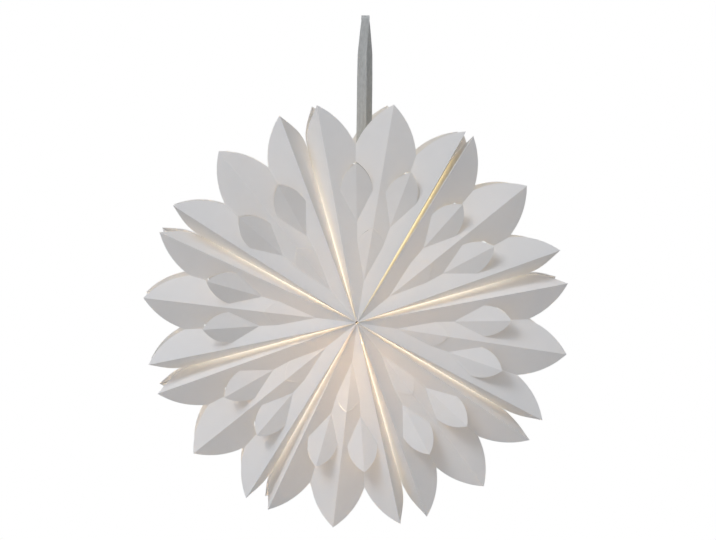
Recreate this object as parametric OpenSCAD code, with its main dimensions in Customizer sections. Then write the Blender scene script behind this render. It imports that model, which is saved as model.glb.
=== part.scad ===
// Hanging paper advent star.
// Eight folded sleeves of white paper stand side by side round a hub and are glued along their sides.
// Each sleeve has a creased, petal-cut front and back, and two deep walls that make the grooves.
// A lamp holder and a globe bulb sit in the hollow middle, and a ribbon loop carries the star.
// Millimetres, +Z up, front towards -Y. The origin is the point of the loop that a hook touches.

/* [Star] */
// Mean reach of the petal tips from the hub
star_r = 220; // [208:1:260]
// Depth from the middle of the star to its front ridges, and to its back ridges
half_depth = 75; // [62:1:95]
// Thickness of the paper
paper_t = 0.4; // [0.3:0.05:0.6]
// How far the hub hangs below the middle of the rim
hub_sag = 7.7; // [0:0.1:12]
// Radius of the small hole left at the hub
hub_r = 1.8; // [1.7:0.1:4]
// Drop from the hanging point to the hub
hub_drop = 318; // [290:1:420]
// How far the hub hangs to the left of the hanging point
hub_left = 11.5; // [0:0.5:14]
// Gap of the glue line between two sleeves
glue_gap = 0.1; // [0.05:0.01:0.3]
// How far the back grooves are open, as a share of the front ones
back_open = 0.9; // [0.85:0.01:1]
// How late the walls part as they near the edge folds: at 1 they are flat, and it falls to 1 at the rim
wall_flare = 6; // [1:0.5:7]

/* [Folds] */
// Angle in the flat paper between an edge fold and its valley fold
facet_a = 10.35; // [10.3:0.05:10.8]
// Where the two valley folds would meet, out from the hub
valley_meet = 9; // [4:0.5:14]
// How far the rim notches lie inside the petal tips
notch_drop = 43; // [32:1:50]
// How far the notch of a glued side lies inside the petal tips
side_notch_drop = 54; // [40:1:70]
// Bulge of the side's edge between that notch and the tip
side_bulge = 5; // [0:0.5:10]
// Bulge of a rim petal's edge, as a share of its chord
rim_bow = 0.09; // [0.03:0.01:0.13]

/* [Inner petals] */
// Where the inner petal's two creases part
inner_root = 42; // [32:1:52]
// Where those creases end
inner_end = 80; // [72:1:84]
// Where the slit round the inner petal comes to its point
inner_slit = 96; // [92:1:102]
// Bulge of the inner slit, as a share of its chord
inner_bow = 0.1; // [0.05:0.01:0.13]
// Push of the inner petal out of its hole, as a share of the hole's mirror image
inner_pop = 0.8; // [0.4:0.05:1]

/* [Outer petals] */
// How far the point of the outer slit lies inside the petal tips
outer_drop = 62; // [58:1:68]
// Length of the outer petal, from where its creases part to its point
outer_len = 59; // [54:1:62]
// Distance along the petal to its widest place, where the creases end
outer_end = 30.5; // [26:0.5:36]
// Half of the width there
outer_half = 16; // [12:0.5:17]
// Bulge of the outer slit, as a share of its chord
outer_bow = 0.13; // [0.06:0.01:0.16]
// Push of the outer petal out of its hole, as a share of the hole's mirror image
outer_pop = 0.65; // [0.4:0.05:1]
// Gap at the petals' points, as the star is seen from the front
tip_gap = 0.5; // [0.4:0.1:3]

/* [Ribbon] */
// Width of the ribbon
ribbon_w = 10; // [6:0.5:11]
// Thickness of the ribbon
ribbon_t = 0.4; // [0.3:0.05:0.8]
// Inner radius of the loop at the hanging point
loop_r = 4.5; // [3:0.1:6]

/* [Lamp] */
// Radius of the shade ring that the paper rests on
ring_r = 21.5; // [20:0.5:25]
// Height of the shade ring
ring_h = 7; // [5:0.5:9]
// Height of the shade ring's outer lip
ring_lip = 2; // [1.5:0.1:3]
// Wall of the shade ring's collar below the lip
ring_wall = 3.2; // [2:0.1:4]
// Outer radius of the lamp holder
holder_r = 14; // [12.5:0.5:15.5]
// Length of the lamp holder's shell below the seat of the shade ring
holder_low = 42; // [36:1:44]
// Length of the lamp holder's shell above that seat
holder_high = 12; // [8:1:16]
// Height of the holder's domed cap
cap_h = 12; // [10:0.5:16]
// Height of the cap's straight rim
cap_rim = 3; // [2:0.5:5]
// Radius of the cord inlet in the cap
inlet_r = 3.2; // [2.5:0.1:4]
// Half of the clear width of the bail that the ribbon is looped round
bail_half = 6.5; // [6:0.1:8]
// Height of the bail above the cap
bail_h = 10; // [8:0.5:14]
// Radius of the bail's wire
bail_wire = 1.2; // [1:0.1:1.6]
// Radius of the globe bulb
bulb_r = 22.5; // [20:0.5:24]
// Distance from the shell's lower end to the middle of the globe
bulb_drop = 36; // [32:0.5:38]
// Radius of the bulb's neck
neck_r = 9; // [8.5:0.5:12]
// Radius of the bulb's screw base
base_r = 7; // [6.5:0.1:8]
// Length of the screw base inside the holder
base_len = 20; // [16:1:24]
// Running clearance between the lamp's pieces, and under the paper on its ring
seat_gap = 0.3; // [0.2:0.05:0.5]

/* [Hidden] */

// The glued sides stand at these angles, as the star hangs, and the last one closes the circle
SIDES = [15, 59.2, 105.4, 151.3, 195.4, 241.1, 286, 329];
// Half of the angle that each groove stands open at the front
GROOVES = [4.5, 1.1, 5, 3.9, 4.1, 3.4, 3.8, 3.2];
SLEEVES = len(SIDES);

// Points are rounded to this grid, so that faces that share a point close on it
GRID = 0.0001;

// Steps along a slit, a rim petal's edge, and the depth of half a wall
SLIT_STEPS = 6;
RIM_STEPS = 8;
WALL_ROWS = 6;

// How much the rows crowd towards the edge folds, where the walls part
ROW_CROWDING = 1.7;

// Facets round a big, a middling and a small circle, and steps round the ribbon's upper bend
BIG_FN = 72;
MIDDLE_FN = 64;
SMALL_FN = 32;
BEND_STEPS = 16;

// How far two solids of one piece run into each other
MERGE = 1;

hub_x = -hub_left;
hub_z = -hub_drop;
notch_r = star_r - notch_drop;
side_notch_r = star_r - side_notch_drop;
outer_slit = star_r - outer_drop;
outer_root = outer_slit - outer_len;

// The walls' inner edge: an arched window that leaves room for the bulb and rests on the ring
ring_side = 1;
seat_turn = (SIDES[ring_side + 1] - SIDES[ring_side]) / 2;
window_r = (ring_r + glue_gap + paper_t) / sin(seat_turn);
window_half = 0.6 * half_depth;

paper_tint = [0.97, 0.965, 0.95];

// A point of the star, from a direction, the way along it, the way aside and the depth
function spot(turn, along, aside, y) =
    let(x = along * cos(turn) - aside * sin(turn))
    let(z = along * sin(turn) + aside * cos(turn))
    let(grow = 1 + hub_sag / star_r * z / norm([x, z]))
    [for (v = [hub_x + x * grow, y, hub_z + z * grow]) round(v / GRID) * GRID];

// Side angles counted past the first and last sleeve, and the groove's half angle on one face
function side_turn(i) = SIDES[i % SLEEVES] + 360 * floor(i / SLEEVES);
function groove(i, face) = GROOVES[i % SLEEVES] * (face < 0 ? 1 : back_open);

// One creased face of a sleeve: its front (-1) or back (1), middle, half angle and folds
function fold_up(i, face) =
    let(low = side_turn(i) + groove(i, face))
    let(high = side_turn(i + 1) - groove(i + 1, face))
    let(half = (high - low) / 2)
    let(rise = tan(acos(tan(half / 2) / tan(facet_a))))
    let(notch = notch_r * [cos(half / 2), sin(half / 2)])
    let(crown = valley_meet * sin(half) * rise)
    let(pitch = ((notch[0] * sin(half) - notch[1] * cos(half)) * rise - crown) / notch[1])
    [face, (low + high) / 2, half, rise, notch, crown, pitch];

// A point on the valley fold, and one aside from it, both in the plan of the face
function valley(f, x) = [x, (x - valley_meet) * f[4][1] / (f[4][0] - valley_meet)];
function beside(f, way, aside) =
    let(dir = [f[4][0] - valley_meet, f[4][1]] / norm([f[4][0] - valley_meet, f[4][1]]))
    valley(f, outer_root) + way * dir + aside * [-dir[1], dir[0]];

// Depth of the two planes that meet in the valley fold: by the edge fold, and by the middle fold
function by_edge(f, p) = [p[0], p[1], (p[0] * sin(f[2]) - p[1] * cos(f[2])) * f[3]];
function by_middle(f, p) = [p[0], p[1], f[5] + f[6] * p[1]];

// Depth of a petal's tip: its slit's point p, pushed out through the plane of its creases
function raised(p, share, a, b, c) =
    let(n = cross(b - a, c - a))
    p[2] - (1 + share) * ((p - a) * n) / (n * n) * n[2];

// A point of the plane through three points, above the plan point p
function above(p, a, b, c) =
    let(n = cross(b - a, c - a))
    [p[0], p[1], a[2] - (n[0] * (p[0] - a[0]) + n[1] * (p[1] - a[1])) / n[2]];

// A bowed line in plan, without its first point
function bow(p, q, bend, steps) =
    let(way = q - p)
    let(square = 4 * bend * [-way[1], way[0]])
    [for (k = [1:steps]) p + way * k / steps + square * k * (steps - k) / pow(steps, 2)];

// Both skins of the paper at a point of a face, where side is 1 or -1
function on_face(f, side, q) =
    let(at_edge = abs(q[0] * sin(f[2]) - q[1] * cos(f[2])) < 0.001)
    let(step_in = at_edge ? paper_t : 0)
    [spot(f[1], q[0], side * q[1], f[0] * (half_depth - q[2])),
     spot(f[1], q[0], side * (q[1] - step_in), f[0] * (half_depth - q[2] - paper_t))];

// Both skins of the paper at a point of the wall along side i
function on_wall(i, side, r, y) =
    let(face = y < 0 ? -1 : 1)
    let(share = abs(y) / half_depth)
    let(open = groove(i, face))
    let(flared = pow(share, wall_flare - (wall_flare - 1) * pow(r / star_r, 2)))
    let(along = r * (1 - flared + flared * cos(open)))
    let(aside = (1 - share) * glue_gap / 2 + flared * r * sin(open))
    [spot(side_turn(i), along, -side * aside, y),
     spot(side_turn(i), along, -side * (aside + paper_t), y)];

// The wall's two ends at a depth, the depths of its rows, and the places of its columns
function wall_in(y) =
    abs(y) < window_half ? max(hub_r, window_r * sqrt(1 - pow(y / window_half, 2))) : hub_r;
function wall_out(y) =
    let(share = abs(y) / half_depth)
    side_notch_r + side_notch_drop * share + 4 * side_bulge * share * (1 - share);
function row_share(j) = sign(j) * (1 - pow(1 - abs(j) / WALL_ROWS, ROW_CROWDING));
EDGE_R = [hub_r, inner_end, (outer_root + outer_end + outer_slit) / 2, notch_r, star_r];
function column(k) = (EDGE_R[k] - hub_r) / (star_r - hub_r);

// Triangles between a line and a shorter one beside it, each step tied to the nearest point by reach
function nearest(p, low, k = 0) =
    k < len(low) - 1 && norm(p) > (norm(low[k]) + norm(low[k + 1])) / 2 ? nearest(p, low, k + 1) : k;
function web(up, low) = [for (k = [0:len(up) - 2])
    let(a = nearest(up[k], low), b = max(a, nearest(up[k + 1], low)))
    each concat([[up[k], up[k + 1], low[b]]], [for (j = [a:1:b - 1]) [up[k], low[j + 1], low[j]]])];
function fan(root, rim) = [for (k = [0:len(rim) - 2]) [root, rim[k], rim[k + 1]]];
function turned(list) = [for (t = list) [t[2], t[1], t[0]]];

// Both skins of a list of triangles, and the cut edge along a line, each point a pair of skins
function skins(list) = [for (t = list)
    each [[t[0][0], t[1][0], t[2][0]], [t[2][1], t[1][1], t[0][1]]]];
function rim(line) = [for (k = [0:len(line) - 2])
    each [[line[k + 1][0], line[k][0], line[k][1]], [line[k + 1][0], line[k][1], line[k + 1][1]]]];

function reversed(list) = [for (k = [len(list) - 1:-1:0]) list[k]];
function paired(f, side, lists) = [for (list = lists) [for (p = list) on_face(f, side, p)]];

// A petal's half: its crease's end, then its cut edge to the tip, all in the plane of root, end and tip
function petal(root, end, tip, bend) =
    let(edge = bow([end[0], end[1]], [tip[0], tip[1]], bend, SLIT_STEPS))
    concat([end], [for (p = edge) above(p, root, end, tip)]);

// Half of a creased face: the panel by the edge fold, the panel by the middle fold, and two petals
function half_face(f, side) =
    let(edge = [for (r = EDGE_R) by_edge(f, r * [cos(f[2]), sin(f[2])])])
    let(end_1 = valley(f, inner_end), slit_2 = valley(f, outer_slit))
    let(high_2 = beside(f, outer_end, outer_half), low_2 = beside(f, outer_end, -outer_half))
    let(root_1 = by_edge(f, [inner_root, 0]), b_1 = by_edge(f, end_1), c_1 = [b_1[0], -b_1[1], b_1[2]])
    let(root_2 = by_edge(f, valley(f, outer_root)), b_2 = by_edge(f, high_2), c_2 = by_middle(f, low_2))
    let(rise_1 = raised(by_edge(f, [inner_slit, 0]), inner_pop, root_1, b_1, c_1))
    let(rise_2 = raised(by_edge(f, slit_2), outer_pop, root_2, b_2, c_2))
    let(tip_1 = [inner_slit - tip_gap, 0, rise_1])
    let(tip_2 = concat(beside(f, outer_len - tip_gap, 0), [rise_2]))
    let(petal_1 = petal(root_1, b_1, tip_1, inner_bow))
    let(petal_high = petal(root_2, b_2, tip_2, outer_bow))
    let(petal_low = petal(root_2, c_2, tip_2, -outer_bow))
    let(arch = concat([[inner_slit, 0]], bow([inner_slit, 0], end_1, -inner_bow, SLIT_STEPS)))
    let(high_slit = bow(high_2, slit_2, outer_bow, SLIT_STEPS))
    let(low_slit = bow(low_2, slit_2, -outer_bow, SLIT_STEPS))
    let(high_rim = bow(f[4], star_r * [cos(f[2]), sin(f[2])], -rim_bow, RIM_STEPS))
    let(low_rim = bow(f[4], [star_r, 0], rim_bow, RIM_STEPS))
    let(edge_slit = concat([b_2], [for (p = high_slit) by_edge(f, p)]))
    let(edge_rim = [for (p = concat([f[4]], high_rim)) by_edge(f, p)])
    let(edge_line = concat([by_edge(f, [hub_r, 0]), root_1, b_1, root_2], edge_slit, edge_rim))
    let(middle_arch = [for (p = arch) by_middle(f, p)])
    let(middle_slit = concat([c_2], [for (p = low_slit) by_middle(f, p)]))
    let(middle_rim = [for (p = concat([f[4]], low_rim)) by_middle(f, p)])
    let(middle_line = concat(middle_arch, [root_2], middle_slit, middle_rim))
    let(middle_low = [for (x = [(inner_slit + outer_root + outer_end) / 2, EDGE_R[2], notch_r])
        by_middle(f, [x, 0])])
    let(panels = concat(web(edge_line, [for (k = [0:len(edge) - 2]) edge[k]]),
        turned(web(middle_line, middle_low)), turned(fan(root_1, petal_1)),
        turned(fan(root_2, petal_high)), fan(root_2, petal_low)))
    let(cuts = [[edge[0], edge_line[0]], reversed(petal_1), reversed(middle_arch), edge_slit,
        reversed(middle_slit), reversed(petal_high), petal_low, edge_rim, reversed(middle_rim)])
    let(cut_edges = [for (line = paired(f, side, cuts)) each rim(line)])
    let(paper = concat(skins(paired(f, side, panels)), cut_edges))
    side * f[0] < 0 ? turned(paper) : paper;

// The wall along one side of a sleeve, from its front edge fold to its back edge fold
function wall(i, side, front, back) =
    let(at = side > 0 ? i + 1 : i)
    let(rows = concat(
        [[for (r = EDGE_R) on_face(front, side, by_edge(front, r * [cos(front[2]), sin(front[2])]))]],
        [for (j = [1 - WALL_ROWS:WALL_ROWS - 1]) let(y = half_depth * row_share(j))
            [for (k = [0:len(EDGE_R) - 1])
                on_wall(at, side, wall_in(y) + (wall_out(y) - wall_in(y)) * column(k), y)]],
        [[for (r = EDGE_R) on_face(back, side, by_edge(back, r * [cos(back[2]), sin(back[2])]))]]))
    let(panels = [for (j = [0:len(rows) - 2], k = [0:len(EDGE_R) - 2])
        each [[rows[j + 1][k], rows[j][k], rows[j][k + 1]],
            [rows[j + 1][k], rows[j][k + 1], rows[j + 1][k + 1]]]])
    let(cuts = [reversed([for (row = rows) row[0]]), [for (row = rows) row[len(row) - 1]]])
    let(paper = concat(skins(panels), [for (line = cuts) each rim(line)]))
    side > 0 ? turned(paper) : paper;

// One sleeve: a sheet folded round into a front, a back and two walls
module sleeve(i) {
    front = fold_up(i, -1);
    back = fold_up(i, 1);
    sheet = [for (side = [-1, 1])
        each concat(half_face(front, side), half_face(back, side), wall(i, side, front, back))];
    color(paper_tint)
        polyhedron([for (t = sheet) each t], [for (k = [0:len(sheet) - 1]) [3 * k, 3 * k + 1, 3 * k + 2]]);
}

// The two places where the paper rests on the shade ring, and the lamp's own frame between them
seat_low = spot(side_turn(ring_side), window_r, 0, 0);
seat_high = spot(side_turn(ring_side + 1), window_r, 0, 0);
seat = (seat_low + seat_high) / 2;
seat_tilt = atan2(seat_high[2] - seat_low[2], seat_low[0] - seat_high[0]);

module lamp_frame() {
    translate(seat)
        rotate([0, seat_tilt, 0])
            children();
}

// A threaded ring that clamps a shade; here the paper's window edges rest on it
module shade_ring() {
    bore = holder_r + seat_gap;
    collar = bore + ring_wall;
    lip_z = -seat_gap - ring_lip;
    color("white")
        lamp_frame()
            rotate_extrude($fn = BIG_FN)
                polygon([[bore, -seat_gap - ring_h], [collar, -seat_gap - ring_h],
                    [collar, lip_z - (ring_r - collar) / 4], [ring_r, lip_z], [ring_r, -seat_gap],
                    [bore, -seat_gap]]);
}

// The tube of the lamp holder, open at its lower end for the bulb's base
module holder_shell() {
    color("white")
        lamp_frame()
            difference() {
                translate([0, 0, -holder_low])
                    cylinder(h = holder_low + holder_high, r = holder_r, $fn = MIDDLE_FN);
                translate([0, 0, -holder_low - MERGE])
                    cylinder(h = base_len + MERGE + seat_gap, r = base_r + seat_gap, $fn = MIDDLE_FN);
            }
}

// The cap screws on the shell; it has the cord inlet, and the bail that the ribbon is looped round
module holder_cap() {
    foot = holder_high + seat_gap;
    top = foot + cap_h;
    post_r = 1.4 * bail_wire;
    post_x = bail_half + post_r;
    crown_r = post_x + post_r + bail_wire / 2;
    color("white")
        lamp_frame()
            difference() {
                union() {
                    translate([0, 0, foot])
                        cylinder(h = cap_rim, r = holder_r, $fn = MIDDLE_FN);
                    translate([0, 0, foot + cap_rim])
                        cylinder(h = cap_h - cap_rim, r1 = holder_r, r2 = crown_r, $fn = MIDDLE_FN);
                    for (side = [-1, 1])
                        translate([side * post_x, 0, top - MERGE])
                            cylinder(h = bail_h + MERGE + post_r, r = post_r, $fn = SMALL_FN);
                    translate([-post_x, 0, top + bail_h])
                        rotate([0, 90, 0])
                            cylinder(h = 2 * post_x, r = bail_wire, $fn = SMALL_FN);
                }
                translate([0, 0, foot - MERGE])
                    cylinder(h = cap_h + 2 * MERGE, r = inlet_r, $fn = SMALL_FN);
            }
}

// A globe bulb with its neck and screw base, sealed
module bulb() {
    rise = sqrt(pow(bulb_r, 2) - pow(neck_r, 2));
    mouth = -holder_low - seat_gap;
    centre = -holder_low - bulb_drop;
    color("ivory")
        lamp_frame()
            union() {
                translate([0, 0, centre])
                    sphere(r = bulb_r, $fn = BIG_FN);
                translate([0, 0, centre + rise - MERGE])
                    cylinder(h = mouth - centre - rise + MERGE, r = neck_r, $fn = MIDDLE_FN);
                translate([0, 0, mouth - MERGE])
                    cylinder(h = base_len + MERGE, r = base_r, $fn = MIDDLE_FN);
            }
}

// The ribbon: one closed loop, from the bail of the holder up to the hanging point
bail_at = seat + (holder_high + seat_gap + cap_h + bail_h) * [sin(seat_tilt), 0, cos(seat_tilt)];
low_r = bail_wire + 2 * seat_gap + ribbon_w / 2 * sin(abs(seat_tilt));

// Outline of a band round the hook's point and the bail's bar, seen along X
function bend(r, z, start) = [for (k = [0:BEND_STEPS])
    [r * cos(start + k * 180 / BEND_STEPS), z + r * sin(start + k * 180 / BEND_STEPS)]];
function band(grown) = concat(bend(loop_r + grown, -loop_r, 0), bend(low_r + grown, bail_at[2], 180));

module hanging_ribbon() {
    lean = atan2(bail_at[0], -bail_at[2]);
    color("silver")
        rotate([0, -lean, 0])
            rotate([90, 0, 90])
                translate([0, 0, -ribbon_w / 2])
                    linear_extrude(height = ribbon_w)
                        difference() {
                            polygon(band(ribbon_t));
                            polygon(band(0));
                        }
}

sleeve(0);  // sleeve_upper_right
sleeve(1);  // sleeve_top
sleeve(2);  // sleeve_upper_left
sleeve(3);  // sleeve_left
sleeve(4);  // sleeve_lower_left
sleeve(5);  // sleeve_bottom
sleeve(6);  // sleeve_lower_right
sleeve(7);  // sleeve_right
hanging_ribbon();
holder_cap();
holder_shell();
shade_ring();
bulb();
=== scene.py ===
"""Hanging paper advent star with a lamp inside: paper, ribbon and lamp as they look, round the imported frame.

Lengths of the paper are in millimetres until a mesh is written, which is in metres like the frame.
"""

from __future__ import annotations

import logging
import math
from collections.abc import Callable
from dataclasses import dataclass, field
from enum import Enum

import bmesh
import bpy
from bpy.types import Material, Node, NodeSocket, NodeTree, Object
from mathutils import Matrix, Vector
from mathutils.geometry import delaunay_2d_cdt

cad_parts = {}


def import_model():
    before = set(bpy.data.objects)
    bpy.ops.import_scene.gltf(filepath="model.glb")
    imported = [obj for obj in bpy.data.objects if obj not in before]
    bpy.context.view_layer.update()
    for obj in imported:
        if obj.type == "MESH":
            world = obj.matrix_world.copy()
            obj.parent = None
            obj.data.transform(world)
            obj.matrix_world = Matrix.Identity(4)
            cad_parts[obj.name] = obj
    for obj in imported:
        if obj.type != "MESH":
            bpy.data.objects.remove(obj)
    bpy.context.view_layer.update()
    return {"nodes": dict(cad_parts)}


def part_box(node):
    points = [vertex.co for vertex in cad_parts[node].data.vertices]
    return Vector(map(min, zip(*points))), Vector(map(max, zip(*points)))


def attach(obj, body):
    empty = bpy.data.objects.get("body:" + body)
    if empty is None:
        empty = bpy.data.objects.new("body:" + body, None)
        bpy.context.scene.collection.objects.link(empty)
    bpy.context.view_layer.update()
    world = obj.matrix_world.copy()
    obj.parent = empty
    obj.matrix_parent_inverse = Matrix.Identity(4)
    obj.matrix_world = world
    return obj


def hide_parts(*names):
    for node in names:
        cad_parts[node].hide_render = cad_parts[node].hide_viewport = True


LOG = logging.getLogger("paper_star")
MM = 0.001
BODY = "root"

# Length over which Blender's band texture repeats at a scale of 1
BAND_PERIOD = 0.31

# How clear of its outline a filled panel's inner points stay, as a share of their grid
CLEAR_SHARE = 0.45

# Plan points closer than this are one, and smaller triangles than this are left out
SAME_POINT = 1e-5
LEAST_AREA = 1e-6


class Face(Enum):
    """The two creased faces of a sleeve, by the sign of their depth."""

    FRONT = -1
    BACK = 1


class Slot(Enum):
    """Names of the material slots."""

    PAPER = "paper"
    RIBBON = "ribbon"
    HOLDER = "holder"
    BULB = "bulb"


class Card(Enum):
    """Materials of a sleeve, by their number on its mesh."""

    FACE = 0
    WALL = 1
    CLOSING_WALL = 2


class BulbPart(Enum):
    """Materials of the bulb, by their number on its mesh."""

    GLASS = 0
    COLLAR = 1
    BASE = 2


def linear(code: str) -> tuple[float, float, float, float]:
    """Turn an sRGB hex colour, six digits after a hash, into linear RGBA."""
    parts = [int(code[k:k + 2], 16) / 255 for k in (1, 3, 5)]
    flat = [v / 12.92 if v <= 0.04045 else ((v + 0.055) / 1.055) ** 2.4 for v in parts]
    return (*flat, 1.0)


def wire(tree: NodeTree, kind: str, links: dict | None = None, **settings) -> Node:
    """Add one node with its settings and its links.

    Args:
        tree: The node tree that takes the node.
        kind: Blender's type name of the node.
        links: Input name or number to an output socket, or to a plain value.
        settings: Attributes of the node itself.

    Returns:
        The new node.
    """
    node = tree.nodes.new(kind)
    for name, value in settings.items():
        setattr(node, name, value)
    for key, value in (links or {}).items():
        if isinstance(value, NodeSocket):
            tree.links.new(value, node.inputs[key])
        else:
            node.inputs[key].default_value = value
    return node


def new_material(name: str) -> tuple[Material, NodeTree]:
    """Start an empty node material, and return it with its node tree."""
    material = bpy.data.materials.new(name)
    material.use_nodes = True
    material.node_tree.nodes.clear()
    return material, material.node_tree


def shown(material: Material, shader: NodeSocket) -> Material:
    """Finish a material with the shader that it shows."""
    wire(material.node_tree, "ShaderNodeOutputMaterial", {"Surface": shader})
    return material


def ramp(tree: NodeTree, value: NodeSocket, ends: tuple[float, float],
         results: tuple[float, float]) -> NodeSocket:
    """Add a straight ramp between two ends of a value and their results, level past them."""
    return wire(tree, "ShaderNodeMapRange", {
        "Value": value, "From Min": ends[0], "From Max": ends[1], "To Min": results[0],
        "To Max": results[1]}).outputs["Result"]


def maths(tree: NodeTree, operation: str, *values: NodeSocket | float) -> NodeSocket:
    """Add one operation on one or two values."""
    return wire(tree, "ShaderNodeMath", dict(enumerate(values)), operation=operation).outputs[0]


def cloudy(tree: NodeTree, size_mm: float, detail: float = 2.0, roughness: float = 0.5) -> NodeSocket:
    """Add noise over the object's own coordinates, in patches of a size in millimetres."""
    place = wire(tree, "ShaderNodeTexCoord")
    noise = wire(tree, "ShaderNodeTexNoise", {
        "Vector": place.outputs["Object"], "Scale": 1 / (size_mm * MM), "Detail": detail,
        "Roughness": roughness})
    return noise.outputs["Fac"]


def blend(tree: NodeTree, share: NodeSocket, low: str, high: str) -> NodeSocket:
    """Add a colour between two sRGB hex colours."""
    mix = wire(tree, "ShaderNodeMix", {0: share, 6: linear(low), 7: linear(high)}, data_type="RGBA")
    return mix.outputs[2]


def relief(tree: NodeTree, height: NodeSocket, strength: float, depth_mm: float,
           **below: NodeSocket) -> NodeSocket:
    """Add a bump, on top of the one below where its Normal is given."""
    return wire(tree, "ShaderNodeBump", {
        "Height": height, "Strength": strength, "Distance": depth_mm * MM, **below}).outputs["Normal"]


@dataclass(frozen=True)
class FoldedPaper:
    """Uncoated white card, about 230 g/m2, die-cut and creased: matt, faintly fibrous, lets light through."""

    shade: str = "#f6f7f9"
    shade_low: str = "#f1f2f4"
    glow: str = "#fff4e4"
    through: float = 0.26
    roughness: float = 0.82
    specular: float = 0.3
    fibre_mm: float = 0.9
    fibre_depth_mm: float = 0.06
    fibre_bump: float = 0.12
    cockle_mm: float = 16.0
    cockle_depth_mm: float = 0.5
    cockle_bump: float = 0.35
    # Painted glow of the walls' card: emission strength, the depth and reach it fades over, and its colours,
    # also for the closing seam
    painted_glow: float = 0.56
    painted_glow_depth_mm: float = 42.0
    painted_glow_reach_mm: float = 215.0
    painted_glow_cool: str = "#fffef9"
    painted_glow_warm: str = "#fff2de"
    seam_painted_glow: float = 1.1
    seam_painted_glow_colour: str = "#ffecb2"

    def painted_groove_glow(self, tree: NodeTree, sizes: StarSizes, seam: bool) -> tuple[NodeSocket, ...]:
        """Painted glow: emission on the walls that stands in for lamplight caught in the grooves, stronger
        deep in the grooves and by the hub, warmer by the hub and whiter further out.

        Args:
            tree: The material's nodes.
            sizes: The star's driving sizes.
            seam: Whether these are the two walls of the closing seam, which get a stronger, yellower painted
                glow.

        Returns:
            The painted glow's colour and its strength.
        """
        place = wire(tree, "ShaderNodeTexCoord").outputs["Object"]
        depth = maths(tree, "ABSOLUTE", wire(tree, "ShaderNodeSeparateXYZ", {0: place}).outputs["Y"])
        edge = sizes.half_depth * MM
        most = self.seam_painted_glow if seam else self.painted_glow
        deep = ramp(tree, depth, (edge, edge - self.painted_glow_depth_mm * MM), (0.0, most))
        flat = wire(tree, "ShaderNodeVectorMath", {0: place, 1: (1.0, 0.0, 1.0)}, operation="MULTIPLY")
        hub = (-sizes.hub_left * MM, 0.0, -sizes.hub_drop * MM)
        off = wire(tree, "ShaderNodeVectorMath", {0: flat.outputs[0], 1: hub}, operation="DISTANCE")
        near = ramp(tree, off.outputs["Value"], (0.0, self.painted_glow_reach_mm * MM), (1.0, 0.0))
        warm = self.seam_painted_glow_colour if seam else self.painted_glow_warm
        cool = self.seam_painted_glow_colour if seam else self.painted_glow_cool
        return blend(tree, near, cool, warm), maths(tree, "MULTIPLY", deep, near)

    def material(self, name: str, walls: StarSizes | None = None, seam: bool = False) -> Material:
        """Build the paper: matt card that passes part of the light on, and on the walls a painted glow by
        emission.

        Args:
            name: The material's name.
            walls: The star's sizes, for the card of the walls, which gets a painted glow by emission.
            seam: Whether the walls are those of the closing seam.

        Returns:
            The card's material.
        """
        material, tree = new_material(name)
        cloud = cloudy(tree, self.cockle_mm, 3.0)
        fibre = relief(tree, cloudy(tree, self.fibre_mm, 4.0, 0.65), self.fibre_bump, self.fibre_depth_mm)
        cockle = relief(tree, cloud, self.cockle_bump, self.cockle_depth_mm, Normal=fibre)
        card = wire(tree, "ShaderNodeBsdfPrincipled", {
            "Base Color": blend(tree, cloud, self.shade_low, self.shade), "Roughness": self.roughness,
            "Specular IOR Level": self.specular, "Normal": cockle})
        # Painted light: the walls' card glows by emission in place of lamplight caught in the grooves
        if walls:
            painted_glow_tint, strength = self.painted_groove_glow(tree, walls, seam)
            tree.links.new(painted_glow_tint, card.inputs["Emission Color"])
            tree.links.new(strength, card.inputs["Emission Strength"])
        light = wire(tree, "ShaderNodeBsdfTranslucent", {"Color": linear(self.glow), "Normal": cockle})
        both = wire(tree, "ShaderNodeMixShader", {
            0: self.through, 1: card.outputs["BSDF"], 2: light.outputs["BSDF"]})
        return shown(material, both.outputs["Shader"])


@dataclass(frozen=True)
class WovenRibbon:
    """Grey polyester organza, plain woven: fine warp threads, mottled streaks along them and a soft shine."""

    warp: str = "#e6e6e3"
    gap: str = "#82827f"
    thread_mm: float = 0.55
    thread_depth_mm: float = 0.1
    pick_share: float = 0.35
    streak_mm: float = 8.3333
    streak_narrowing: float = 4.0
    streak_share: float = 0.75
    roughness: float = 0.55
    sheen: float = 0.25

    def material(self) -> Material:
        """Build the ribbon from its own UV map, u across and v along, both in metres."""
        material, tree = new_material("woven_grey_organza")
        place = wire(tree, "ShaderNodeUVMap", uv_map="weave").outputs["UV"]
        threads, picks = (wire(tree, "ShaderNodeTexWave", {
            "Vector": place, "Scale": BAND_PERIOD / (self.thread_mm * MM), "Distortion": bend, "Detail": 2.0,
        }, wave_type="BANDS", bands_direction=way) for way, bend in (("X", 1.2), ("Y", 1.0)))
        stretch = wire(tree, "ShaderNodeMapping", {
            "Vector": place, "Scale": (self.streak_narrowing, 1.0, 1.0)})
        streak = wire(tree, "ShaderNodeTexNoise", {
            "Vector": stretch.outputs["Vector"], "Scale": 1 / (self.streak_mm * MM), "Detail": 5.0,
            "Roughness": 0.75})
        weave = wire(tree, "ShaderNodeMix", {
            0: self.pick_share, 2: threads.outputs["Fac"], 3: picks.outputs["Fac"]}, data_type="FLOAT")
        mottle = wire(tree, "ShaderNodeMix", {
            0: self.streak_share, 2: weave.outputs[0], 3: streak.outputs["Fac"]}, data_type="FLOAT")
        cloth = wire(tree, "ShaderNodeBsdfPrincipled", {
            "Base Color": blend(tree, mottle.outputs[0], self.gap, self.warp), "Roughness": self.roughness,
            "Sheen Weight": self.sheen, "Sheen Roughness": 0.4,
            "Normal": relief(tree, weave.outputs[0], 0.5, self.thread_depth_mm)})
        return shown(material, cloth.outputs["BSDF"])


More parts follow.
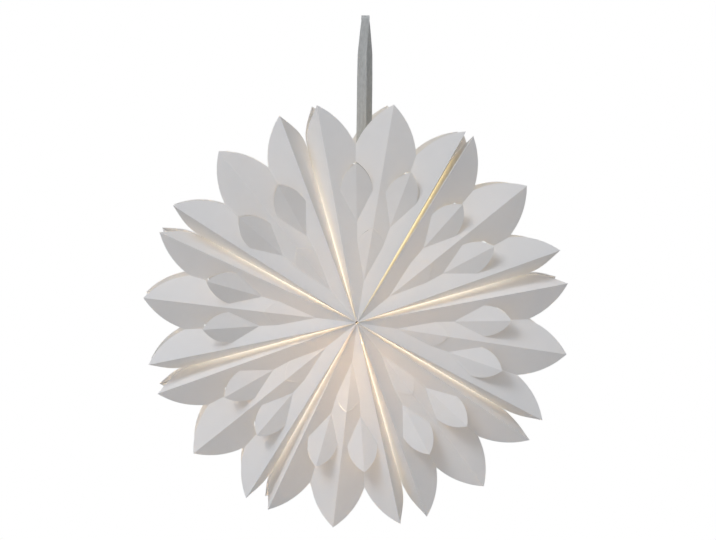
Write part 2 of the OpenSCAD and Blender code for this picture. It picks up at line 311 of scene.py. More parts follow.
@dataclass(frozen=True)
class MouldedPlastic:
    """Glass-filled white PBT, injection moulded: satin, with a fine spark-eroded grain."""

    name: str = "moulded_white_pbt"
    shade: str = "#e9e7e1"
    shade_low: str = "#dedbd3"
    grain_mm: float = 0.6
    roughness: float = 0.46
    grain_depth_mm: float = 0.05
    flow_mm: float = 16.667

    def material(self) -> Material:
        """Build the satin moulded plastic."""
        material, tree = new_material(self.name)
        plastic = wire(tree, "ShaderNodeBsdfPrincipled", {
            "Base Color": blend(tree, cloudy(tree, self.flow_mm), self.shade_low, self.shade),
            "Roughness": self.roughness,
            "Normal": relief(tree, cloudy(tree, self.grain_mm), 0.25, self.grain_depth_mm)})
        return shown(material, plastic.outputs["BSDF"])


@dataclass(frozen=True)
class OpalGlass:
    """Opal-coated bulb glass over a warm lamp: smooth, and bright with a slight unevenness."""

    shade: str = "#f6efe2"
    lamp: str = "#ffe0b8"
    power: float = 46.0
    unevenness: float = 0.05
    cloud_mm: float = 22.222
    roughness: float = 0.18

    def material(self) -> Material:
        """Build the lit opal glass."""
        material, tree = new_material("opal_glass_lit")
        powers = ((1 - self.unevenness) * self.power, (1 + self.unevenness) * self.power)
        bright = ramp(tree, cloudy(tree, self.cloud_mm), (0.0, 1.0), powers)
        glass = wire(tree, "ShaderNodeBsdfPrincipled", {
            "Base Color": linear(self.shade), "Roughness": self.roughness,
            "Emission Color": linear(self.lamp), "Emission Strength": bright})
        return shown(material, glass.outputs["BSDF"])


@dataclass(frozen=True)
class PlatedBrass:
    """Nickel-plated brass of the bulb's screw base: bright, a little scuffed by handling."""

    shade: str = "#c9c6bf"
    smoothest: float = 0.22
    roughest: float = 0.38
    wear_mm: float = 1.4286

    def material(self) -> Material:
        """Build the plated metal."""
        material, tree = new_material("nickel_plated_brass")
        rough = ramp(tree, cloudy(tree, self.wear_mm, 3.0), (0.0, 1.0), (self.smoothest, self.roughest))
        metal = wire(tree, "ShaderNodeBsdfPrincipled", {
            "Base Color": linear(self.shade), "Metallic": 1.0, "Roughness": rough})
        return shown(material, metal.outputs["BSDF"])


def finish_mesh(obj: Object, finishes: list[Material], crease_deg: float = 12.0) -> None:
    """Give a mesh its materials and smooth shading that breaks at creases.

    Args:
        obj: The mesh object, whose faces already carry the numbers of their finishes.
        finishes: The finishes in that order.
        crease_deg: Edges that turn more than this stay crisp.
    """
    mesh = obj.data
    for finish in finishes:
        mesh.materials.append(finish)
    work = bmesh.new()
    work.from_mesh(mesh)
    for part in work.faces:
        part.smooth = True
    for edge in work.edges:
        edge.smooth = len(edge.link_faces) == 2 and edge.calc_face_angle(0.0) < math.radians(crease_deg)
    work.to_mesh(mesh)
    work.free()


def new_piece(work: bmesh.types.BMesh, name: str) -> Object:
    """Turn finished mesh data, which is freed, into a linked object of that name at the origin."""
    mesh = bpy.data.meshes.new(name)
    work.to_mesh(mesh)
    work.free()
    piece = bpy.data.objects.new(name, mesh)
    bpy.context.scene.collection.objects.link(piece)
    return piece


def thicken(piece: Object, thickness: float, offset: float) -> None:
    """Give a sheet its thickness in millimetres: behind it at offset -1, half on each side at 0."""
    wall = piece.modifiers.new("thickness", "SOLIDIFY")
    wall.thickness = thickness * MM
    wall.offset = offset
    bake_modifiers(piece)


def bake_modifiers(obj: Object) -> None:
    """Turn an object's modifiers into its plain mesh, which takes the object's name."""
    bpy.context.view_layer.update()
    graph = bpy.context.evaluated_depsgraph_get()
    mesh = bpy.data.meshes.new_from_object(obj.evaluated_get(graph))
    obj.modifiers.clear()
    old = obj.data
    obj.data = mesh
    bpy.data.meshes.remove(old)
    mesh.name = obj.name


@dataclass(frozen=True)
class StarSizes:
    """Driving sizes of the folded star, in millimetres and degrees."""

    reach: float = 220.0
    half_depth: float = 75.0
    paper: float = 0.4
    hub_sag: float = 7.7
    hub_hole: float = 1.8
    hub_drop: float = 318.0
    hub_left: float = 11.5
    glue_gap: float = 0.1
    back_open: float = 0.9
    wall_flare: float = 6.0
    facet_angle: float = 10.35
    valley_meet: float = 9.0
    notch_drop: float = 43.0
    side_notch_drop: float = 54.0
    side_bulge: float = 5.0
    rim_bow: float = 0.09
    inner_root: float = 42.0
    inner_end: float = 80.0
    inner_slit: float = 96.0
    inner_bow: float = 0.1
    outer_drop: float = 62.0
    outer_length: float = 59.0
    outer_end: float = 30.5
    outer_half: float = 16.0
    outer_bow: float = 0.13
    inner_pop: float = 0.8
    outer_pop: float = 0.65
    tip_gap: float = 0.5
    window_half: float = 45.0
    window_reach: float = 56.0
    sides: tuple[float, ...] = (15.0, 59.2, 105.4, 151.3, 195.4, 241.1, 286.0, 329.0)
    closing_side: int = 1
    grooves: tuple[float, ...] = (4.5, 1.1, 5.0, 3.9, 4.1, 3.4, 3.8, 3.2)

    def turn(self, side: int) -> float:
        """Angle of a glued side, counted on past the last one."""
        count = len(self.sides)
        return self.sides[side % count] + 360.0 * (side // count)

    def groove(self, side: int, face: Face) -> float:
        """Half angle that the groove at a glued side stands open on one face."""
        share = 1.0 if face is Face.FRONT else self.back_open
        return self.grooves[side % len(self.grooves)] * share

    def spot(self, turn: float, along: float, aside: float, depth: float) -> Vector:
        """Place of a point of the star.

        Args:
            turn: Direction from the hub in degrees.
            along: Distance along that direction.
            aside: Distance square to it, anticlockwise.
            depth: Place along Y.

        Returns:
            The point in the frame, in millimetres.
        """
        angle = math.radians(turn)
        x = along * math.cos(angle) - aside * math.sin(angle)
        z = along * math.sin(angle) + aside * math.cos(angle)
        grow = 1.0 + self.hub_sag / self.reach * z / math.hypot(x, z)
        return Vector((-self.hub_left + x * grow, depth, -self.hub_drop + z * grow))


class FoldedFace:
    """One creased face of a sleeve, as depths over its plan."""

    def __init__(self, sizes: StarSizes, index: int, face: Face) -> None:
        """Work out the folds.

        Args:
            sizes: The star's driving sizes.
            index: Number of the sleeve, by the glued side that it starts at.
            face: Front or back.
        """
        low = sizes.turn(index) + sizes.groove(index, face)
        high = sizes.turn(index + 1) - sizes.groove(index + 1, face)
        self.sizes = sizes
        self.face = face
        self.middle = (low + high) / 2
        self.half = math.radians((high - low) / 2)
        self.rise = math.tan(math.acos(math.tan(self.half / 2) / math.tan(math.radians(sizes.facet_angle))))
        reach = sizes.reach - sizes.notch_drop
        self.notch = Vector((reach * math.cos(self.half / 2), reach * math.sin(self.half / 2)))
        self.crown = sizes.valley_meet * math.sin(self.half) * self.rise
        drop = self.notch.x * math.sin(self.half) - self.notch.y * math.cos(self.half)
        self.pitch = (drop * self.rise - self.crown) / self.notch.y

    def valley(self, along: float) -> Vector:
        """Plan point of the valley fold at a distance along the face."""
        meet = self.sizes.valley_meet
        return Vector((along, (along - meet) * self.notch.y / (self.notch.x - meet)))

    def beside(self, way: float, aside: float) -> Vector:
        """Plan point by an outer petal's root, along its valley fold and aside from it."""
        step = Vector((self.notch.x - self.sizes.valley_meet, self.notch.y)).normalized()
        root = self.valley(self.sizes.reach - self.sizes.outer_drop - self.sizes.outer_length)
        return root + way * step + aside * Vector((-step.y, step.x))

    def by_edge(self, plan: Vector) -> Vector:
        """Point of the panel between the edge fold and the valley fold."""
        drop = plan.x * math.sin(self.half) - plan.y * math.cos(self.half)
        return Vector((plan.x, plan.y, drop * self.rise))

    def by_middle(self, plan: Vector) -> Vector:
        """Point of the panel between the valley fold and the middle ridge."""
        return Vector((plan.x, plan.y, self.crown + self.pitch * plan.y))

    def edge_point(self, reach: float) -> Vector:
        """Plan point of the edge fold at a distance from the hub."""
        return Vector((reach * math.cos(self.half), reach * math.sin(self.half)))

    def edge_fold(self, reach: float) -> Vector:
        """Folded point of the edge fold at that distance."""
        return self.by_edge(self.edge_point(reach))


def raised(point: Vector, share: float, corners: tuple[Vector, Vector, Vector]) -> float:
    """Depth of a petal's tip, pushed out through the plane of its creases.

    Args:
        point: The point of its slit.
        share: Push, as a share of the slit point's mirror image.
        corners: Root and ends of the two creases.

    Returns:
        The depth of the tip.
    """
    root, left, right = corners
    normal = (left - root).cross(right - root)
    return point.z - (1 + share) * (point - root).dot(normal) / normal.length_squared * normal.z


def above(plan: Vector, root: Vector, end: Vector, tip: Vector) -> Vector:
    """Point of the plane through three points, above a plan point."""
    n = (end - root).cross(tip - root)
    return Vector((plan.x, plan.y, root.z - (n.x * (plan.x - root.x) + n.y * (plan.y - root.y)) / n.z))


def bowed(start: Vector, end: Vector, bend: float, steps: int) -> list[Vector]:
    """Points of a shallow arc.

    Args:
        start: First point, which the list leaves out.
        end: Last point.
        bend: Height of the arc as a share of its chord, to the left of its way.
        steps: Number of points.

    Returns:
        The points after the first.
    """
    way = end - start
    square = Vector((-way.y, way.x))
    return [start + way * (k / steps) + square * (4 * bend * k * (steps - k) / steps ** 2)
            for k in range(1, steps + 1)]


def straight(start: Vector, end: Vector, step: float) -> list[Vector]:
    """Points of a straight crease after its start, no further apart than a step."""
    count = max(1, math.ceil((end - start).length / step))
    return [start + (end - start) * (k / count) for k in range(1, count + 1)]


def off_outline(point: Vector, outline: list[Vector]) -> float:
    """Distance of a plan point inside an outline, or a negative number outside it.

    Args:
        point: The plan point.
        outline: The closed outline's corners.

    Returns:
        The distance to the nearest side, negative outside.
    """
    inside = False
    nearest = math.inf
    for k, end in enumerate(outline):
        start = outline[k - 1]
        if (start.y > point.y) != (end.y > point.y):
            cross = start.x + (point.y - start.y) / (end.y - start.y) * (end.x - start.x)
            inside = inside != (point.x < cross)
        way = end - start
        share = min(1.0, max(0.0, (point - start).dot(way) / way.length_squared))
        nearest = min(nearest, (point - start - way * share).length_squared)
    return math.sqrt(nearest) if inside else -math.sqrt(nearest)


def filled(outline: list[Vector], grid: float) -> tuple[list[Vector], list[list[int]]]:
    """Fill a plan outline with even triangles.

    Args:
        outline: The outline's corners in order.
        grid: Distance between the points inside.

    Returns:
        The points and the triangles, anticlockwise.
    """
    low = Vector((min(p.x for p in outline), min(p.y for p in outline)))
    high = Vector((max(p.x for p in outline), max(p.y for p in outline)))
    row_step = grid * math.sqrt(3) / 2
    points = list(outline)
    for row in range(1, int((high.y - low.y) / row_step) + 1):
        shift = grid / 2 if row % 2 else 0.0
        for place in range(int((high.x - low.x) / grid) + 1):
            point = Vector((low.x + shift + place * grid, low.y + row * row_step))
            if off_outline(point, outline) > grid * CLEAR_SHARE:
                points.append(point)
    ring = [(k, (k + 1) % len(outline)) for k in range(len(outline))]
    corners, _, faces, _, _, _ = delaunay_2d_cdt(points, ring, [], 1, SAME_POINT)
    kept = []
    for part in faces:
        a, b, c = (corners[k] for k in part)
        area = (b.x - a.x) * (c.y - a.y) - (b.y - a.y) * (c.x - a.x)
        if abs(area) > LEAST_AREA:
            kept.append(list(part) if area > 0 else list(reversed(part)))
    return list(corners), kept


@dataclass
class PaperSleeve:
    """One sheet of card folded round into a front, a back and two walls, with its petals pushed out."""

    sizes: StarSizes
    index: int
    node: str
    grid: float = 5.0
    edge_step: float = 4.0
    arc_steps: int = 14
    rim_steps: int = 22
    reach_steps: int = 44
    wall_rows: int = 16
    row_crowding: float = 1.7
    curl: float = 1.6
    curl_from: float = 0.78
    billow: float = 0.45
    wave_mm: tuple[float, float, float] = (13.0, 11.0, 17.0)
    wave_phase: tuple[float, float, float] = (1.3, 0.7, 0.0)
    wave_lift: float = 1.5
    weld: float = 0.02
    sliver: float = 0.001
    work: bmesh.types.BMesh = field(default_factory=bmesh.new)

    def reach_at(self, column: int) -> float:
        """Distance from the hub of a column of points on the edge fold."""
        share = column / self.reach_steps
        return self.sizes.hub_hole + (self.sizes.reach - self.sizes.hub_hole) * share

    def place(self, fold: FoldedFace, side: int, point: Vector) -> Vector:
        """Place of a folded point of a face, in millimetres."""
        depth = fold.face.value * (self.sizes.half_depth - point.z)
        return self.sizes.spot(fold.middle, point.x, side * point.y, depth)

    def add_panel(self, fold: FoldedFace, outline: list[Vector], lift: Callable[[Vector], Vector]) -> None:
        """Fill one panel and put it on both halves of a face.

        Args:
            fold: The face that it belongs to.
            outline: Its outline in plan, for the upper half.
            lift: The function that folds a plan point.
        """
        corners, faces = filled(outline, self.grid)
        for side in (-1, 1):
            verts = [self.work.verts.new(self.place(fold, side, lift(p))) for p in corners]
            keep = side * fold.face.value < 0
            for part in faces:
                order = part if keep else list(reversed(part))
                self.work.faces.new([verts[k] for k in order]).material_index = Card.FACE.value

    def add_face(self, fold: FoldedFace) -> None:
        """Build the panels and petals of one creased face."""
        s = self.sizes
        step = self.edge_step
        slit_reach = s.reach - s.outer_drop
        hub = Vector((s.hub_hole, 0.0))
        root_1 = Vector((s.inner_root, 0.0))
        end_1 = fold.valley(s.inner_end)
        tip_1 = Vector((s.inner_slit - s.tip_gap, 0.0))
        top_1 = Vector((s.inner_slit, 0.0))
        root_2 = fold.valley(slit_reach - s.outer_length)
        slit_2 = fold.valley(slit_reach)
        tip_2 = fold.beside(s.outer_length - s.tip_gap, 0.0)
        high_2 = fold.beside(s.outer_end, s.outer_half)
        low_2 = fold.beside(s.outer_end, -s.outer_half)
        peak = Vector((s.reach, 0.0))

        crease_1 = [root_1] + straight(root_1, end_1, step)
        crease_high = [root_2] + straight(root_2, high_2, step)
        crease_low = [root_2] + straight(root_2, low_2, step)
        high_slit = bowed(high_2, slit_2, s.outer_bow, self.arc_steps)
        low_slit = bowed(low_2, slit_2, -s.outer_bow, self.arc_steps)
        arch = [end_1] + bowed(end_1, top_1, s.inner_bow, self.arc_steps)
        valley_in = straight(end_1, root_2, step)
        valley_out = straight(slit_2, fold.notch, step)
        edge_rim = bowed(fold.notch, fold.edge_point(s.reach), -s.rim_bow, self.rim_steps)
        middle_rim = bowed(fold.notch, peak, s.rim_bow, self.rim_steps)
        edge = [fold.edge_point(self.reach_at(k)) for k in range(self.reach_steps + 1)]

        edge_panel = ([hub] + straight(hub, root_1, step) + crease_1[1:] + valley_in + crease_high[1:]
                      + high_slit + valley_out + edge_rim + list(reversed(edge))[1:])
        middle_panel = (arch[::-1] + valley_in + crease_low[1:] + low_slit + valley_out + middle_rim
                        + straight(peak, top_1, step)[:-1])
        inner_petal = (crease_1 + bowed(end_1, tip_1, s.inner_bow, self.arc_steps)
                       + straight(tip_1, root_1, step))

        base_1 = fold.by_edge(root_1)
        left_1 = fold.by_edge(end_1)
        right_1 = Vector((left_1.x, -left_1.y, left_1.z))
        peak_1 = raised(fold.by_edge(top_1), s.inner_pop, (base_1, left_1, right_1))
        crest_1 = Vector((tip_1.x, tip_1.y, peak_1))
        base_2 = fold.by_edge(root_2)
        ends_2 = (fold.by_edge(high_2), fold.by_middle(low_2))
        peak_2 = raised(fold.by_edge(slit_2), s.outer_pop, (base_2, *ends_2))
        crest_2 = Vector((tip_2.x, tip_2.y, peak_2))

        self.add_panel(fold, edge_panel[::-1], fold.by_edge)
        self.add_panel(fold, middle_panel[::-1], fold.by_middle)
        self.add_panel(fold, inner_petal[:-1], lambda p: above(p, base_1, left_1, crest_1))
        back_down = straight(tip_2, root_2, step)[:-1]
        for crease, bend, end in zip((crease_high, crease_low), (s.outer_bow, -s.outer_bow), ends_2):
            petal = crease + bowed(crease[-1], tip_2, bend, self.arc_steps) + back_down
            self.add_panel(fold, petal, lambda p, end=end: above(p, base_2, end, crest_2))

    def wall_point(self, side: int, column: int, depth: float) -> Vector:
        """Place of a point of one wall, in millimetres.

        Args:
            side: -1 for the wall at the sleeve's own side, 1 for the one at the next.
            column: Number of the point from the hub outwards.
            depth: Place along Y.

        Returns:
            The point in the frame.
        """
        s = self.sizes
        glued = self.index + (1 if side > 0 else 0)
        face = Face.FRONT if depth < 0 else Face.BACK
        share = abs(depth) / s.half_depth
        inner = s.hub_hole
        if abs(depth) < s.window_half:
            inner = max(inner, s.window_reach * math.sqrt(1 - (depth / s.window_half) ** 2))
        outer = s.reach - s.side_notch_drop * (1 - share) + 4 * s.side_bulge * share * (1 - share)
        reach = inner + (outer - inner) * column / self.reach_steps
        opened = math.radians(s.groove(glued, face))
        flared = share ** (s.wall_flare - (s.wall_flare - 1) * (reach / s.reach) ** 2)
        along = reach * (1 - flared + flared * math.cos(opened))
        aside = (1 - share) * s.glue_gap / 2 + flared * reach * math.sin(opened)
        return s.spot(s.turn(glued), along, -side * aside, depth)

    def add_wall(self, side: int, front: FoldedFace, back: FoldedFace) -> None:
        """Build one wall, from the front edge fold to the back one.

        Args:
            side: -1 or 1, the side of the sleeve.
            front: The front face's folds.
            back: The back face's folds.
        """
        glued = (self.index + (1 if side > 0 else 0)) % len(self.sizes.sides)
        card = Card.CLOSING_WALL if glued == self.sizes.closing_side else Card.WALL
        columns = range(self.reach_steps + 1)
        rows = [[self.place(front, side, front.edge_fold(self.reach_at(k))) for k in columns]]
        for row in range(1 - self.wall_rows, self.wall_rows):
            share = 1 - (1 - abs(row) / self.wall_rows) ** self.row_crowding
            depth = math.copysign(self.sizes.half_depth * share, row)
            rows.append([self.wall_point(side, k, depth) for k in columns])
        rows.append([self.place(back, side, back.edge_fold(self.reach_at(k))) for k in columns])
        grid = [[self.work.verts.new(p) for p in row] for row in rows]
        for upper, lower in zip(grid, grid[1:]):
            for k in range(self.reach_steps):
                corners = [upper[k], upper[k + 1], lower[k + 1], lower[k]]
                part = self.work.faces.new(corners if side > 0 else corners[::-1])
                part.material_index = card.value

    def soften(self) -> None:
        """Let the flat panels billow a little and the petals curl back, as card does when it is handled."""
        s = self.sizes
        hub = Vector((-s.hub_left, 0.0, -s.hub_drop))
        for vert in self.work.verts:
            p = vert.co
            sheet = abs(p.y) / s.half_depth
            out = math.hypot(p.x - hub.x, p.z - hub.z) / s.reach
            face = 1.0 if p.y > 0 else -1.0
            waves = zip((p.x, p.z, p.x + p.z), self.wave_mm, self.wave_phase)
            wave = sum(math.sin(way / length + phase * self.index) for way, length, phase in waves)
            pull = self.curl * max(0.0, (out - self.curl_from) / (1 - self.curl_from)) ** 2
            p.y -= face * sheet ** 2 * (pull + self.billow * (wave + self.wave_lift) / len(self.wave_mm))

    def build(self, finishes: list[Material]) -> Object:
        """Make the sleeve's mesh and hang it on the frame.

        Args:
            finishes: The card's materials, for the faces, the walls and the closing walls.

        Returns:
            The finished piece.
        """
        front = FoldedFace(self.sizes, self.index, Face.FRONT)
        back = FoldedFace(self.sizes, self.index, Face.BACK)
        for fold in (front, back):
            self.add_face(fold)
        for side in (-1, 1):
            self.add_wall(side, front, back)
        bmesh.ops.remove_doubles(self.work, verts=self.work.verts, dist=self.weld)
        bmesh.ops.dissolve_degenerate(self.work, edges=self.work.edges, dist=self.sliver)
        bmesh.ops.recalc_face_normals(self.work, faces=self.work.faces)
        self.soften()
        bmesh.ops.scale(self.work, vec=(MM, MM, MM), verts=self.work.verts)
        piece = new_piece(self.work, self.node + "_paper")
        thicken(piece, self.sizes.paper, -1.0)
        finish_mesh(piece, finishes)
        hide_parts(self.node)
        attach(piece, BODY)
        return piece


@dataclass
class HangingRibbon:
    """A ribbon looped round the holder's bail and up to the hook's point, its two runs a little splayed."""

    width: float = 10.0
    thickness: float = 0.3
    top_width: float = 8.4
    loop_r: float = 4.6
    splay: float = 3.2
    splay_rise: tuple[float, float] = (0.25, 0.16)
    splay_power: float = 0.8
    narrow_from: float = 0.72
    bow: float = 0.35
    bow_mm: float = 23.0
    ripple: float = 0.15
    ripple_mm: float = 9.0
    bail_wire: float = 1.2
    bend_r: float = 2.6
    crease_deg: float = 60.0
    across: int = 8
    along: int = 150
    bend_steps: int = 12

    def route(self, low: Vector) -> list[tuple[Vector, float]]:
        """The ribbon's middle line and how wide it lies, from the bail up, over and back.

        Args:
            low: Middle of the bail's bar, in millimetres.

        Returns:
            Points with the ribbon's width there.
        """
        lean = math.atan2(low.x, -low.z)
        drop = math.hypot(low.x, low.z)
        top = Vector((0.0, 0.0, -self.loop_r))
        up = Vector((-math.sin(lean), 0.0, math.cos(lean)))
        side = Vector((math.cos(lean), 0.0, math.sin(lean)))
        bottom = -up * drop
        half = self.along // 2
        line = []
        for run in (1.0, -1.0):
            for k in range(half + 1):
                share = k / half if run > 0 else 1 - k / half
                gap = self.bend_r + (self.loop_r - self.bend_r) * share
                base = bottom + (top - bottom) * share
                low_rise, top_rise = self.splay_rise
                apart = min(1.0, share / low_rise, max(0.0, (1.0 - share) / top_rise))
                spread = self.splay * apart ** self.splay_power
                narrowed = max(0.0, share - self.narrow_from) / (1 - self.narrow_from)
                width = self.width + (self.top_width - self.width) * narrowed
                line.append((base + Vector((0.0, -run * gap, 0.0)) + side * (run * -spread), width))
            over = (top, self.loop_r, self.top_width)
            centre, radius, width = over if run > 0 else (bottom, self.bend_r, self.width)
            for k in range(1, self.bend_steps):
                turn = math.pi * k / self.bend_steps
                out = up * (run * math.sin(turn)) + Vector((0.0, -run * math.cos(turn), 0.0))
                line.append((centre + out * radius, width))
        return line

    def build(self, finish: Material) -> Object:
        """Make the ribbon's mesh and hang it on the frame.

        Args:
            finish: The ribbon's material.

        Returns:
            The finished piece.
        """
        low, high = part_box("holder_cap")
        line = self.route(Vector(((low[0] + high[0]) / 2 / MM, 0.0, high[2] / MM - self.bail_wire)))
        work = bmesh.new()
        layer = work.loops.layers.uv.new("weave")
        rows = []
        length = 0.0
        for k, (point, width) in enumerate(line):
            length += (point - line[k - 1][0]).length if k else 0.0
            bow = self.bow * math.sin(length / self.bow_mm)
            row = []
            for j in range(self.across + 1):
                share = j / self.across - 0.5
                ripple = self.ripple * math.sin(length / self.ripple_mm + 5 * share)
                aside = Vector((share * width, bow * math.cos(math.pi * share) + ripple, 0.0))
                row.append(work.verts.new((point + aside) * MM))
            rows.append((row, length))
        closing = length + (line[-1][0] - line[0][0]).length
        for (row, start), (after, end) in zip(rows, [*rows[1:], (rows[0][0], closing)]):
            for j in range(self.across):
                part = work.faces.new((row[j], row[j + 1], after[j + 1], after[j]))
                places = ((j, start), (j + 1, start), (j + 1, end), (j, end))
                for loop, (place, way) in zip(part.loops, places):
                    loop[layer].uv = (place / self.across * self.width * MM, way * MM)
        bmesh.ops.recalc_face_normals(work, faces=work.faces)
        piece = new_piece(work, "ribbon_loop")
        thicken(piece, self.thickness, 0.0)
        finish_mesh(piece, [finish], self.crease_deg)
        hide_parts("hanging_ribbon")
        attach(piece, BODY)
        LOG.info("ribbon: %.0f mm long when flat", closing)
        return piece


def ring_of_ribs() -> NodeTree:
    """Make the nodes that stand upright ribs in a ring round Z."""
    tree = bpy.data.node_groups.new("ring_of_ribs", "GeometryNodeTree")
    sockets = (("Ribs", "NodeSocketInt"), ("Radius", "NodeSocketFloat"), ("Size", "NodeSocketVector"),
               ("Material", "NodeSocketMaterial"))
    for name, kind in sockets:
        tree.interface.new_socket(name, in_out="INPUT", socket_type=kind)
    tree.interface.new_socket("Geometry", in_out="OUTPUT", socket_type="NodeSocketGeometry")
    given = wire(tree, "NodeGroupInput").outputs
    ring = wire(tree, "GeometryNodeMeshCircle", {"Vertices": given["Ribs"], "Radius": given["Radius"]})
    rib = wire(tree, "GeometryNodeMeshCube", {"Size": given["Size"]})
    share = maths(tree, "DIVIDE", wire(tree, "GeometryNodeInputIndex").outputs[0], given["Ribs"])
    turn = wire(tree, "ShaderNodeCombineXYZ", {"Z": maths(tree, "MULTIPLY", share, math.tau)})
    stand = wire(tree, "GeometryNodeInstanceOnPoints", {
        "Points": ring.outputs["Mesh"], "Instance": rib.outputs["Mesh"], "Rotation": turn.outputs[0]})
    solid = wire(tree, "GeometryNodeRealizeInstances", {0: stand.outputs[0]})
    done = wire(tree, "GeometryNodeSetMaterial", {
        "Geometry": solid.outputs[0], "Material": given["Material"]})
    wire(tree, "NodeGroupOutput", {0: done.outputs[0]})
    return tree


@dataclass(frozen=True)
class RibRing:
    """A ring of upright grip ribs, in millimetres and in the lamp's own frame."""

    name: str
    count: int
    radius: float
    size: tuple[float, float, float]
    height: float


@dataclass
class LampInside:
    """The lamp holder, its shade ring and the globe bulb in the hollow middle."""

    sizes: StarSizes
    nodes: dict[str, Object]
    ring_ribs: RibRing = RibRing("shade_ring_ribs", 40, 17.5, (0.8, 1.1, 4.0), -5.2)
    cap_ribs: RibRing = RibRing("holder_cap_ribs", 32, 14.0, (0.7, 1.0, 2.6), 13.8)
    shell_low: float = 42.3
    seat_gap: float = 0.3
    bulb_drop: float = 36.0
    globe_r: float = 22.5
    neck_r: float = 9.0
    collar_lip: float = 0.6
    base_r: float = 7.0
    base_length: float = 19.7
    contact_r: float = 2.4
    contact_height: float = 1.6
    thread_depth: float = 0.45
    thread_from: float = 1.0
    thread_length: float = 13.0
    thread_turns: int = 5
    thread_steps: int = 6
    crease_deg: float = 35.0
    globe_steps: int = 40
    segments: int = 64

    def frame(self) -> Matrix:
        """Seat of the lamp between the two upper sleeves' walls, tilted as they lie."""
        s = self.sizes
        low, high = (s.spot(s.turn(k), s.window_reach, 0.0, 0.0) for k in (1, 2))
        tilt = math.atan2(high.z - low.z, low.x - high.x)
        return Matrix.Scale(MM, 4) @ Matrix.Translation((low + high) / 2) @ Matrix.Rotation(tilt, 4, "Y")

    def bulb_profile(self) -> list[tuple[float, float, BulbPart]]:
        """Radii and heights of the bulb from the bottom up, each with the part that it closes."""
        mouth = -self.shell_low
        middle = mouth - self.bulb_drop + self.seat_gap
        neck = math.asin(self.neck_r / self.globe_r)
        line = []
        for k in range(self.globe_steps + 1):
            turn = math.pi - (math.pi - neck) * k / self.globe_steps
            height = middle + self.globe_r * math.cos(turn)
            line.append((self.globe_r * math.sin(turn), height, BulbPart.GLASS))
        lip = self.collar_lip
        for radius, drop in ((self.neck_r, 2 * lip), (self.neck_r - lip, lip), (self.base_r, lip)):
            line.append((radius, mouth - drop, BulbPart.COLLAR))
        count = self.thread_turns * self.thread_steps
        for k in range(count + 1):
            depth = self.thread_depth * (1 - math.cos(math.tau * k / self.thread_steps)) / 2
            height = mouth + self.thread_from + self.thread_length * k / count
            line.append((self.base_r - depth, height, BulbPart.BASE))
        top = mouth + self.base_length
        for radius, drop in ((self.contact_r, self.contact_height), (self.contact_r, 0.0), (0.0, 0.0)):
            line.append((radius, top - drop, BulbPart.BASE))
        return line

    def add_bulb(self) -> Object:
        """Turn the bulb's profile into its mesh and hang it on the frame."""
        work = bmesh.new()
        rows = []
        for radius, height, part in self.bulb_profile():
            count = self.segments if radius > LEAST_AREA else 1
            turns = [math.tau * k / count for k in range(count)]
            ring = [work.verts.new((radius * math.cos(v), radius * math.sin(v), height)) for v in turns]
            rows.append((ring, part))
        for (low, _), (high, part) in zip(rows, rows[1:]):
            for k in range(self.segments):
                after = (k + 1) % self.segments
                corners = (low[k % len(low)], low[after % len(low)],
                           high[after % len(high)], high[k % len(high)])
                work.faces.new(list(dict.fromkeys(corners))).material_index = part.value
        bmesh.ops.recalc_face_normals(work, faces=work.faces)
        piece = new_piece(work, "globe_bulb")
        piece.data.transform(self.frame())
        collar = MouldedPlastic("moulded_grey_collar", "#2e2d2b", "#282725", 0.5, 0.5).material()
        finish_mesh(piece, [OpalGlass().material(), collar, PlatedBrass().material()], self.crease_deg)
        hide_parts("bulb")
        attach(piece, BODY)
        return piece

    def add_ribs(self, ribs: RibRing, finish: Material) -> Object:
        """Stand grip ribs in a ring.

        Args:
            ribs: Their name, number, sizes and place.
            finish: Their material.

        Returns:
            The finished piece.
        """
        piece = new_piece(bmesh.new(), ribs.name)
        stand = piece.modifiers.new("ribs", "NODES")
        stand.node_group = ring_of_ribs()
        values = {"Ribs": ribs.count, "Radius": ribs.radius, "Size": ribs.size, "Material": finish}
        for item in stand.node_group.interface.items_tree:
            if item.in_out == "INPUT":
                stand[item.identifier] = values[item.name]
        bake_modifiers(piece)
        piece.data.transform(self.frame() @ Matrix.Translation((0.0, 0.0, ribs.height)))
        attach(piece, BODY)
        return piece

    def build(self) -> None:
        """Give the lamp's pieces their finishes, and add the bulb and the grip ribs."""
        body = MouldedPlastic().material()
        ring = MouldedPlastic("moulded_white_ring", "#efede8", "#e4e1da", 0.5, 0.4).material()
        for name, finish in (("holder_cap", body), ("holder_shell", body), ("shade_ring", ring)):
            mesh = self.nodes[name].data
            mesh.materials.clear()
            mesh.materials.append(finish)
            LOG.info("%s: %s", name, finish.name)
        bulb = self.add_bulb()
        grips = (self.add_ribs(self.ring_ribs, ring), self.add_ribs(self.cap_ribs, body))
        for piece in (bulb, *grips):
            LOG.info("%s: %d faces", piece.name, len(piece.data.polygons))


